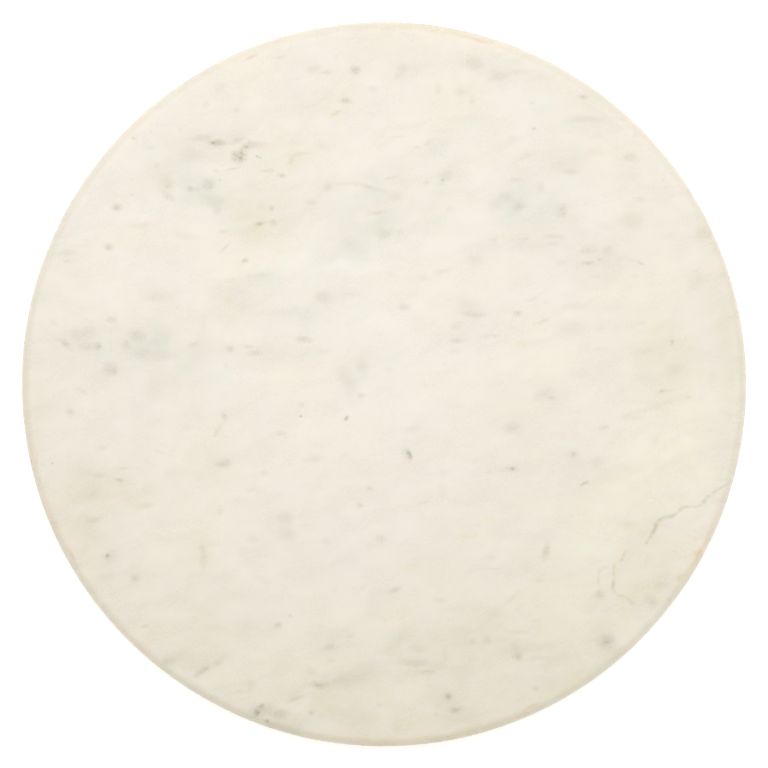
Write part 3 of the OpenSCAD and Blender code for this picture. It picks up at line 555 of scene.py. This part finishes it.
def mark_layers(xy):
    """Sorts the small marks into layers in which no two touch.

    A layer holds, for each point, where the point lies in the nearest mark's own frame (1 is the mark's
    edge), the mark's strength there, and its tint. Those offsets are straight-line functions of position, so
    the material can draw marks that are much smaller than the mesh's cells.
    """
    marks = [(mark, MARK_TINTS[colour]) for colour, rows in MARKS.items() for mark in rows]
    marks += [(mark, MARK_TINTS[colour]) for half_width, strength, colour, points in VEINS
              for mark in vein_marks(half_width, strength, points)]
    layers = []
    for (x, y, length, width, tilt, strength), tint in marks:
        along, across = along_and_across(xy, x, y, tilt)
        near = np.hypot(along / (REACH * length + ROOM), across / (REACH * width + ROOM))
        here = np.stack([along / length, across / width, np.where(near < 1, strength, 0)], axis=-1)
        for layer in layers:
            if not ((near < APART) & (layer["near"] < APART)).any():
                break
        else:
            layer = {"near": np.full(len(xy), np.inf), "place": np.full((len(xy), 3), FAR_OFF)}
            layer["place"][:, 2] = 0
            layer["tint"] = np.ones((len(xy), 3))
            layers.append(layer)
        closer = near < layer["near"]
        layer["near"][closer] = near[closer]
        layer["place"][closer] = here[closer]
        layer["tint"][closer] = tint
    return layers


def store(mesh, name, values):
    """Gives the mesh one number or one vector for each of its points."""
    kind = "FLOAT" if values.ndim == 1 else "FLOAT_VECTOR"
    attribute = mesh.attributes.new(name, kind, "POINT")
    attribute.data.foreach_set("value" if kind == "FLOAT" else "vector", values.astype(np.float32).ravel())


def paint(obj):
    """Writes the patches and marks to the mesh as attributes; returns how many layers the marks take."""
    co = coordinates(obj.data)
    xy = co[:, :2] / UNIT
    shallow = np.exp(-((TOP_Z - co[:, 2]) / MARK_DEPTH) ** 2)
    loose = warped(warped(warped(xy, 28, 6, 1), 9, 4, 2), 4, 1.6, 6)
    for name, shapes in PATCHES.items():
        store(obj.data, name, patches(loose, shapes) * shallow)
    layers = mark_layers(xy)
    for i, layer in enumerate(layers):
        layer["place"][:, 2] *= shallow
        store(obj.data, f"mark_{i}", layer["place"])
        store(obj.data, f"tint_{i}", layer["tint"])
    # how much each point lies in a tinted rim stretch: stains, and painted shade on the bottom rim
    turn = np.degrees(np.arctan2(xy[:, 1], xy[:, 0]))
    stain_and_shade = np.zeros(len(xy))
    for middle, half, strength in RIM_STAINS_AND_SHADE:
        off = (turn - middle + 180) % 360 - 180
        stain_and_shade = np.maximum(stain_and_shade, strength * np.exp(-(off / half) ** 2))
    store(obj.data, "stain_and_shade", stain_and_shade)
    return len(layers)


# ---------------------------------------------------------------- material helpers

def linear(hex_colour):
    """A screen colour such as "#f1ecdf" as linear RGBA."""
    channels = [int(hex_colour[i:i + 2], 16) / 255 for i in (1, 3, 5)]
    return (*[c / 12.92 if c <= 0.04045 else ((c + 0.055) / 1.055) ** 2.4 for c in channels], 1)


class Tree:
    """Short names for making and linking the nodes of a material or a world."""

    def __init__(self, owner, shader="Principled BSDF"):
        owner.use_nodes = True
        self.owner = owner
        self.nodes = owner.node_tree.nodes
        self.links = owner.node_tree.links
        self.shader = self.nodes[shader]

    def put(self, socket, value):
        if isinstance(value, bpy.types.NodeSocket):
            self.links.new(value, socket)
        else:
            socket.default_value = value

    def set(self, **values):
        """Sets or links the shader's own inputs."""
        for name, value in values.items():
            self.put(self.shader.inputs[name.replace("_", " ")], value)

    def place(self, output="Object"):
        return self.nodes.new("ShaderNodeTexCoord").outputs[output]

    def stretch(self, vector, times, tilt, shift=(0, 0, 0)):
        """Makes what is drawn longer by `times` along a line tilted by that many degrees from +X."""
        node = self.nodes.new("ShaderNodeMapping")
        node.vector_type = "TEXTURE"
        self.put(node.inputs["Vector"], vector)
        node.inputs["Scale"].default_value = (times, 1, 1)
        node.inputs["Rotation"].default_value = (0, 0, math.radians(tilt))
        node.inputs["Location"].default_value = shift
        return node.outputs["Vector"]

    def noise(self, vector, size, detail, roughness=0.5, distortion=0, colour=False):
        """Noise whose main features are about `size` metres across."""
        node = self.nodes.new("ShaderNodeTexNoise")
        self.put(node.inputs["Vector"], vector)
        node.inputs["Scale"].default_value = 1 / size
        node.inputs["Detail"].default_value = detail
        node.inputs["Roughness"].default_value = roughness
        node.inputs["Distortion"].default_value = distortion
        return node.outputs["Color" if colour else "Fac"]

    def attribute(self, name, output="Fac"):
        node = self.nodes.new("ShaderNodeAttribute")
        node.attribute_name = name
        return node.outputs[output]

    def math(self, operation, a, b, clamp=False):
        node = self.nodes.new("ShaderNodeMath")
        node.operation = operation
        node.use_clamp = clamp
        self.put(node.inputs[0], a)
        self.put(node.inputs[1], b)
        return node.outputs[0]

    def vector_math(self, operation, a, b=(0, 0, 0)):
        node = self.nodes.new("ShaderNodeVectorMath")
        node.operation = operation
        self.put(node.inputs[0], a)
        self.put(node.inputs[1], b)
        return node.outputs["Value" if operation in ("LENGTH", "DOT_PRODUCT") else "Vector"]

    def xyz(self, vector):
        """The three parts of a vector."""
        node = self.nodes.new("ShaderNodeSeparateXYZ")
        self.put(node.inputs[0], vector)
        return node.outputs

    def flat_length(self, vector):
        """A vector's length in the XY plane: for a place, its distance from the turning axis."""
        return self.vector_math("LENGTH", self.vector_math("MULTIPLY", vector, (1, 1, 0)))

    def product(self, a, b, clamp=False):
        return self.math("MULTIPLY", a, b, clamp)

    def weighted(self, a, b, share):
        """The mean of a and b in which a has the given share."""
        return self.math("ADD", self.product(a, share), self.product(b, 1 - share))

    def ramp(self, value, low, high, to_low=0.0, to_high=1.0, soft=True):
        node = self.nodes.new("ShaderNodeMapRange")
        node.interpolation_type = "SMOOTHSTEP" if soft else "LINEAR"
        self.put(node.inputs["Value"], value)
        for name, number in (("From Min", low), ("From Max", high), ("To Min", to_low), ("To Max", to_high)):
            self.put(node.inputs[name], number)
        return node.outputs["Result"]

    def mix(self, factor, a, b, mode="MIX"):
        """Mixes two colours. In a colour Mix node, inputs 6 and 7 are A and B, and output 2 is the result."""
        node = self.nodes.new("ShaderNodeMix")
        node.data_type = "RGBA"
        node.blend_type = mode
        self.put(node.inputs["Factor"], factor)
        self.put(node.inputs[6], a)
        self.put(node.inputs[7], b)
        return node.outputs[2]

    def tint(self, factor, colour, by):
        """The colour, multiplied by another one as far as the factor goes."""
        return self.mix(factor, colour, (*by, 1) if isinstance(by, tuple) else by, "MULTIPLY")

    def bump(self, height, strength, distance):
        node = self.nodes.new("ShaderNodeBump")
        node.inputs["Strength"].default_value = strength
        node.inputs["Distance"].default_value = distance
        self.put(node.inputs["Height"], height)
        return node.outputs["Normal"]


# ---------------------------------------------------------------- materials

def material_tree(name):
    return Tree(bpy.data.materials.new(name))


def shade_range(t, value, dark, light):
    """A tint that goes evenly from one colour to the other as noise goes from low to high."""
    return t.mix(t.ramp(value, 0.3, 0.7, soft=False), (*dark, 1), (*light, 1))


# the lie of the stone's beds, in degrees from +X
BEDDING = 14


def marble(name, shift, radius, mark_layer_count=0):
    """Cream marble. Its mottle and grain come from noise in three dimensions. The attributes that paint()
    writes add the patches and marks of the one slab that has them."""
    t = material_tree(name)
    place = t.stretch(t.place(), 1, 0, shift)
    sway = t.vector_math("MULTIPLY", t.noise(place, 30 * MM, 2, colour=True), (16 * MM, 16 * MM, 16 * MM))
    bent = t.vector_math("ADD", place, sway)
    flowing = t.stretch(bent, 1.7, BEDDING)
    broad = t.noise(flowing, 22 * MM, 2)
    mottle = t.noise(flowing, 8.5 * MM, 2)
    feather = t.noise(flowing, 7 * MM, 2, distortion=0.3)
    wisps = t.noise(t.stretch(bent, 2, BEDDING - 2), 4 * MM, 1, distortion=0.6)
    grain = t.noise(place, 1.2 * MM, 2, 0.6)

    colour = linear(STONE)
    colour = t.tint(1.0, colour, shade_range(t, mottle, (0.974, 0.974, 0.967), (1.023, 1.023, 1.028)))
    colour = t.tint(t.ramp(broad, 0.35, 0.7), colour, (1.008, 0.997, 0.984))
    hue = t.noise(t.stretch(bent, 1.3, BEDDING, (0.4, 0.2, 0)), 7 * MM, 2, 0.6)
    colour = t.tint(1.0, colour, shade_range(t, hue, (1.01, 0.995, 1.002), (0.99, 1.005, 0.99)))
    uneven = t.ramp(feather, 0.3, 0.7, 0.55, 1.45)
    for kind, by in PATCH_TINTS.items():
        colour = t.tint(t.product(t.attribute(kind), uneven), colour, by)
    colour = t.tint(t.ramp(wisps, 0.48, 0.82, 0, 0.25), colour, (0.95, 0.945, 0.93))
    if not mark_layer_count:
        # a slab without painted patches has clouds of its own
        colour = t.tint(t.ramp(t.weighted(broad, feather, 0.6), 0.5, 0.68), colour, PATCH_TINTS["cloud"])

    # the small marks: a ragged ellipse each, dark in the middle
    ragged = t.math("ADD", t.noise(place, 1.1 * MM, 2, 0.6), t.noise(place, 3.2 * MM, 2, 0.6))
    push = t.ramp(ragged, 0.6, 1.4, -0.38, 0.38, soft=False)
    speckle = t.ramp(t.noise(place, 1.6 * MM, 3, 0.7), 0.3, 0.7, 0.55, 1.15)
    for i in range(mark_layer_count):
        spot = t.attribute(f"mark_{i}", "Vector")
        away = t.math("ADD", t.flat_length(spot), push)
        inside = t.product(t.ramp(away, 1.3, 0.1), t.product(t.xyz(spot)["Z"], speckle), clamp=True)
        colour = t.tint(inside, colour, t.attribute(f"tint_{i}", "Vector"))

    # the handled edge has taken a slight honey tint, stronger along the tinted rim stretches; at the bottom
    # rim that extra tint is painted shade
    out = t.flat_length(t.place())
    rim = t.ramp(out, radius - 6 * MM, radius - 0.3 * MM)
    patchy = t.ramp(t.noise(place, 12 * MM, 4, 0.6), 0.3, 0.7, 0.5, 1)
    stain_and_shade = t.attribute("stain_and_shade")
    handled_and_shaded = t.math("ADD", t.product(stain_and_shade, 0.5), 0.5)
    colour = t.tint(t.product(t.product(rim, patchy), handled_and_shaded), colour, (0.985, 0.93, 0.835))
    # the outer wall darker along the tinted rim stretches; at the bottom rim this is painted shade
    stained_and_shaded_wall = t.product(t.ramp(out, radius - 1.5 * MM, radius - 0.1 * MM), stain_and_shade)
    colour = t.tint(t.product(stained_and_shaded_wall, patchy), colour, (0.86, 0.8, 0.74))

    t.set(Base_Color=colour, Roughness=t.ramp(t.weighted(mottle, grain, 0.6), 0.35, 0.65, 0.24, 0.36),
          Normal=t.bump(t.noise(place, 4 * MM, 4, 0.55), 0.05, 0.3 * MM), IOR=1.5,
          Subsurface_Weight=0.12, Subsurface_Radius=(6 * MM, 4.5 * MM, 3 * MM), Subsurface_Scale=1.0)
    return t.owner


def machined_metal(name, colour, roughness):
    """Turned metal: fine rings about the turning axis, with a satin finish."""
    t = material_tree(name)
    place = t.place()
    section = t.nodes.new("ShaderNodeCombineXYZ")
    t.put(section.inputs[0], t.flat_length(place))
    t.put(section.inputs[2], t.xyz(place)["Z"])
    rings = t.noise(section.outputs[0], 0.4 * MM, 3, 0.7)
    smudge = t.noise(place, 12 * MM, 4, 0.6)
    tone = t.mix(t.ramp(smudge, 0.3, 0.7, 0, 0.5), linear(colour), linear("#a9acb0"))
    t.set(Base_Color=tone, Metallic=1.0, Roughness=t.ramp(rings, 0.3, 0.7, roughness, roughness + 0.14),
          Normal=t.bump(rings, 0.25, 0.02 * MM))
    return t.owner


def plain_metal(name, colour, roughness, mottle):
    """Plated or polished metal with a slight mottle."""
    t = material_tree(name)
    mist = t.noise(t.place(), 3 * MM, 4, 0.65)
    tone = t.mix(t.ramp(mist, 0.35, 0.7, 0, mottle), linear(colour), linear("#8d8a84"))
    t.set(Base_Color=tone, Metallic=1.0, Roughness=t.ramp(mist, 0.3, 0.7, roughness, roughness + 0.12),
          Normal=t.bump(mist, 0.08, 0.02 * MM))
    return t.owner


def plastic(name, colour, roughness, subsurface=0.0):
    """Moulded plastic or rubber with a faint texture."""
    t = material_tree(name)
    pores = t.noise(t.place(), 0.8 * MM, 3, 0.6)
    cast = t.noise(t.place(), 6 * MM, 3)
    shade = t.mix(0.12, linear(colour), linear("#b9b5a6"))
    t.set(Base_Color=t.mix(t.ramp(cast, 0.3, 0.7), linear(colour), shade),
          Roughness=t.ramp(pores, 0.3, 0.7, roughness, roughness + 0.1),
          Normal=t.bump(pores, 0.15, 0.03 * MM), Subsurface_Weight=subsurface,
          Subsurface_Radius=(3 * MM, 3 * MM, 3 * MM), Subsurface_Scale=1.0)
    return t.owner


by_slot = {
    "marble": marble("marble_of_the_base", (0.7, 0.3, 0.2), (base_high.x - base_low.x) / 2),
    "aluminium": machined_metal("machined_aluminium", "#cfd1d3", 0.28),
    "ball_steel": plain_metal("bearing_steel", "#dcdcde", 0.06, 0.05),
    "zinc_steel": plain_metal("zinc_plated_steel", "#c9ccd0", 0.24, 0.35),
    "brass": plain_metal("turned_brass", "#c8a458", 0.25, 0.2),
    "nylon": plastic("natural_nylon", "#ecebe2", 0.42, 0.2),
    "silicone": plastic("silicone_rubber", "#dde1e1", 0.38, 0.4),
    "tape": plastic("adhesive_film", "#efece2", 0.5),
}
for part in frame["record"]["subparts"]:
    node = frame["nodes"][part["node"]]
    node.data.materials.clear()
    node.data.materials.append(by_slot[part["material_slot"]])

# ---------------------------------------------------------------- the marble top in detail

slab = marble_slab("marble_top_slab")
insert_places = on_circle(INSERT_CIRCLE, INSERT_COUNT)
cut_holes(slab, insert_places, HOLE_RADIUS, TOP_UNDERSIDE - HOLE_DEPTH, TOP_UNDERSIDE + HOLE_DEPTH)
smooth(slab)
slab.data.materials.append(marble("marble_of_the_top", (0, 0, 0), TOP_RADIUS, paint(slab)))
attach(slab, "turntable")
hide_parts("marble_top")

# ---------------------------------------------------------------- floor, light and camera

FLOOR_RADIUS = 12.0
STAGE_SIDES = 96
# the floor's own glow: none under the object, where its shadow falls, and full further out
GLOW_FROM = 0.11
GLOW_TO = 0.17
FLOOR_GLOW = 0.6
# (radius, height) of the sheet that stands round the floor, up from its foot
SWEEP = [(5.0, 0.0), (5.6, 0.06), (6.2, 0.25), (6.7, 0.6), (7.1, 1.2), (7.3, 2.2), (7.4, 6.0)]
SWEEP_GLOW = 1.3
WHITE = (1, 1, 1, 1)
# the room's light: its strength low down and overhead, its brighter side, and how much that side differs
LOW_SKY = 0.78
HIGH_SKY = 0.514
BRIGHT_SIDE = (0.35, 0.94, 0)
LEAN = 0.14
# the camera's height, the share of the picture's width that the top takes, and the sensor's width in mm
CAMERA_HEIGHT = 2.2
DISC_SHARE = 0.944
SENSOR = 36.0


def white_floor():
    floor = new_object("floor", on_circle(FLOOR_RADIUS, STAGE_SIDES), [list(range(STAGE_SIDES))])
    t = material_tree("white_sweep")
    glow = t.ramp(t.vector_math("LENGTH", t.place()), GLOW_FROM, GLOW_TO, 0, FLOOR_GLOW)
    t.set(Base_Color=(0.9, 0.9, 0.9, 1), Roughness=0.9, Specular_IOR_Level=0.1, Emission_Color=WHITE,
          Emission_Strength=glow)
    floor.data.materials.append(t.owner)


def white_surround():
    """A sheet that curves up far behind the object, so that low views have no horizon. It lights nothing."""
    points = [point for radius, height in SWEEP for point in on_circle(radius, STAGE_SIDES, height + 1 * MM)]
    faces = [face for ring in range(len(SWEEP) - 1) for face in band(ring * STAGE_SIDES, STAGE_SIDES)]
    sheet = new_object("sweep", points, faces)
    smooth(sheet)
    t = material_tree("white_paper")
    t.set(Base_Color=(0, 0, 0, 1), Specular_IOR_Level=0.0, Emission_Color=WHITE, Emission_Strength=SWEEP_GLOW)
    t.owner.cycles.emission_sampling = "NONE"
    sheet.data.materials.append(t.owner)
    sheet.visible_diffuse = False
    sheet.visible_glossy = False
    sheet.visible_shadow = False
    sheet.visible_transmission = False


def soft_light(name, place, aim, size, watts):
    lamp = bpy.data.lights.new(name, "AREA")
    lamp.shape = "DISK"
    lamp.size = size
    lamp.energy = watts
    obj = bpy.data.objects.new(name, lamp)
    bpy.context.scene.collection.objects.link(obj)
    obj.location = place
    obj.rotation_euler = (Vector(aim) - Vector(place)).to_track_quat("-Z", "Y").to_euler()
    obj.visible_camera = False
    obj.visible_glossy = False


def studio_world():
    """Soft light from all round: more from low down, and a little more from the bright side of the room."""
    world = bpy.data.worlds.new("studio")
    bpy.context.scene.world = world
    t = Tree(world, "Background")
    direction = t.place("Generated")
    by_height = t.ramp(t.xyz(direction)["Z"], 0.08, 0.4, LOW_SKY, HIGH_SKY)
    toward = t.vector_math("DOT_PRODUCT", direction, BRIGHT_SIDE)
    by_side = t.ramp(toward, -1, 1, 1 - LEAN, 1 + LEAN, soft=False)
    t.set(Color=WHITE, Strength=t.product(by_height, by_side))


def overhead_camera():
    """A camera straight above the turning axis."""
    camera = bpy.data.objects.new("camera", bpy.data.cameras.new("camera"))
    bpy.context.scene.collection.objects.link(camera)
    camera.location = (0, 0, CAMERA_HEIGHT)
    camera.data.sensor_width = SENSOR
    camera.data.lens = SENSOR * DISC_SHARE * (CAMERA_HEIGHT - TOP_Z + TOP_EDGE) / (2 * TOP_RADIUS)
    camera.data.clip_end = 50
    bpy.context.scene.camera = camera


white_floor()
white_surround()
soft_light("overhead", place=(-0.01, 0.1, 0.62), aim=(-0.01, 0.1, 0), size=0.4, watts=1.94)
soft_light("key", place=(0.12, 0.88, 0.9), aim=(0, 0.05, 0), size=0.9, watts=1.05)
studio_world()
overhead_camera()
bpy.context.scene.view_settings.view_transform = "Standard"
